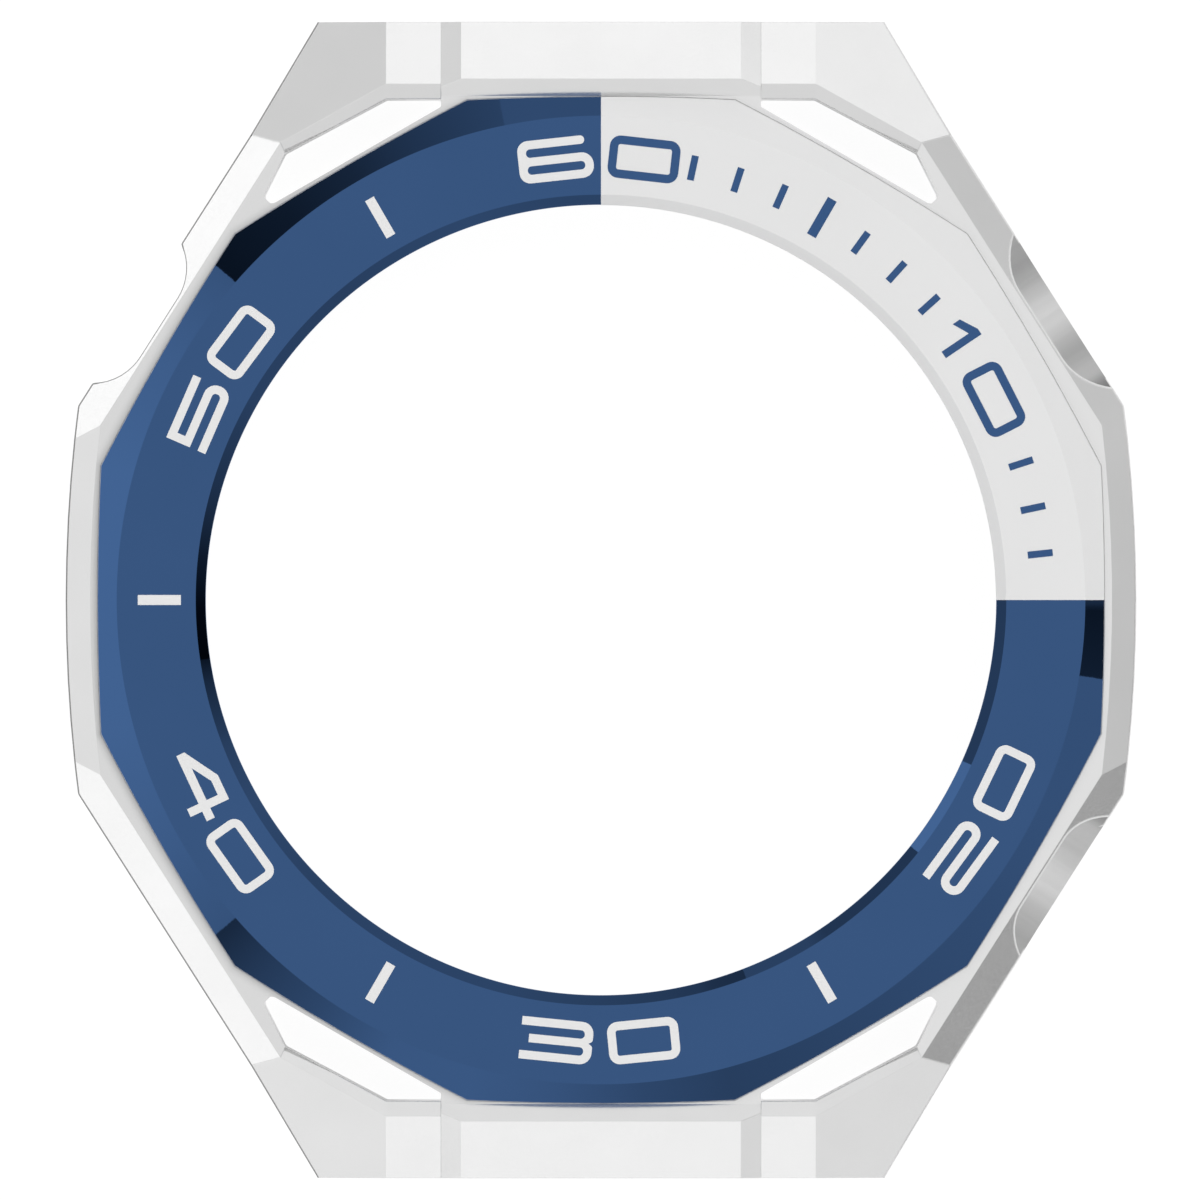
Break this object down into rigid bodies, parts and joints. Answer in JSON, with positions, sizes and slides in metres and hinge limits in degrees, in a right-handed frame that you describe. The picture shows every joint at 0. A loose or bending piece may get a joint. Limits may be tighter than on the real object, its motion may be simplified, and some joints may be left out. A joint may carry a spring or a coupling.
{
  "type": "smartwatch bumper case",
  "caption": "Metal bumper case for a round smartwatch: round window, two-colour faceted dial ring, hooded horns with slots, sprung pushers in finger scoops and strap spring bars.",
  "frame": {"origin": "centre of the outline on the face of the rear ring, which is the lowest face", "axes": "+Z out of the front window, +Y towards 12 o'clock, +X towards 3 o'clock"},
  "size_m": [0.051, 0.055, 0.0109],
  "materials": {
    "case_metal": "satin, with polished finger scoops",
    "pusher_metal": "polished",
    "ring_metal": "brushed in circles",
    "screw_metal": "turned",
    "bar_metal": "drawn",
    "spring_wire": "drawn wire",
    "insert_blue": "high gloss",
    "insert_white": "high gloss",
    "bond": "matte",
    "gasket_rubber": "matte",
    "liner_rubber": "matte"
  },
  "bodies": {
    "case": {"mid_case": "case_metal", "bezel_frame": "case_metal", "insert_blue": "insert_blue", "insert_white": "insert_white", "insert_bond": "bond", "screen_gasket": "gasket_rubber", "pocket_liner": "liner_rubber", "rear_gasket": "gasket_rubber", "rear_ring": "ring_metal", "case_screws": "screw_metal", "upper_pusher_seal": "gasket_rubber", "upper_pusher_spring": "spring_wire", "lower_pusher_seal": "gasket_rubber", "lower_pusher_spring": "spring_wire", "bar_12_tube": "bar_metal", "bar_12_spring": "spring_wire", "bar_6_tube": "bar_metal", "bar_6_spring": "spring_wire"},
    "upper_pusher": {"upper_pusher_head": "pusher_metal", "upper_pusher_clip": "spring_wire"},
    "lower_pusher": {"lower_pusher_head": "pusher_metal", "lower_pusher_clip": "spring_wire"},
    "bar_12_left": {"bar_12_tip_left": "bar_metal"},
    "bar_12_right": {"bar_12_tip_right": "bar_metal"},
    "bar_6_left": {"bar_6_tip_left": "bar_metal"},
    "bar_6_right": {"bar_6_tip_right": "bar_metal"}
  },
  "joints": [
    {"name": "upper_press", "type": "slide", "parent": "case", "child": "upper_pusher", "axis": [-0.8434, -0.5373, 0], "range_m": [0, 0.0005], "stiffness_N_per_m": 800, "springref_m": -0.001, "deforming": ["upper_pusher_spring"]},
    {"name": "lower_press", "type": "slide", "parent": "case", "child": "lower_pusher", "axis": [-0.8434, 0.5373, 0], "range_m": [0, 0.0005], "stiffness_N_per_m": 800, "springref_m": -0.001, "deforming": ["lower_pusher_spring"]},
    {"name": "bar_12_left_release", "type": "slide", "parent": "case", "child": "bar_12_left", "axis": [1, 0, 0], "range_m": [0, 0.0012], "stiffness_N_per_m": 700, "springref_m": -0.004, "deforming": ["bar_12_spring"]},
    {"name": "bar_12_right_release", "type": "slide", "parent": "case", "child": "bar_12_right", "axis": [-1, 0, 0], "range_m": [0, 0.0012], "stiffness_N_per_m": 700, "springref_m": -0.004, "deforming": ["bar_12_spring"]},
    {"name": "bar_6_left_release", "type": "slide", "parent": "case", "child": "bar_6_left", "axis": [1, 0, 0], "range_m": [0, 0.0012], "stiffness_N_per_m": 700, "springref_m": -0.004, "deforming": ["bar_6_spring"]},
    {"name": "bar_6_right_release", "type": "slide", "parent": "case", "child": "bar_6_right", "axis": [-1, 0, 0], "range_m": [0, 0.0012], "stiffness_N_per_m": 700, "springref_m": -0.004, "deforming": ["bar_6_spring"]}
  ]
}
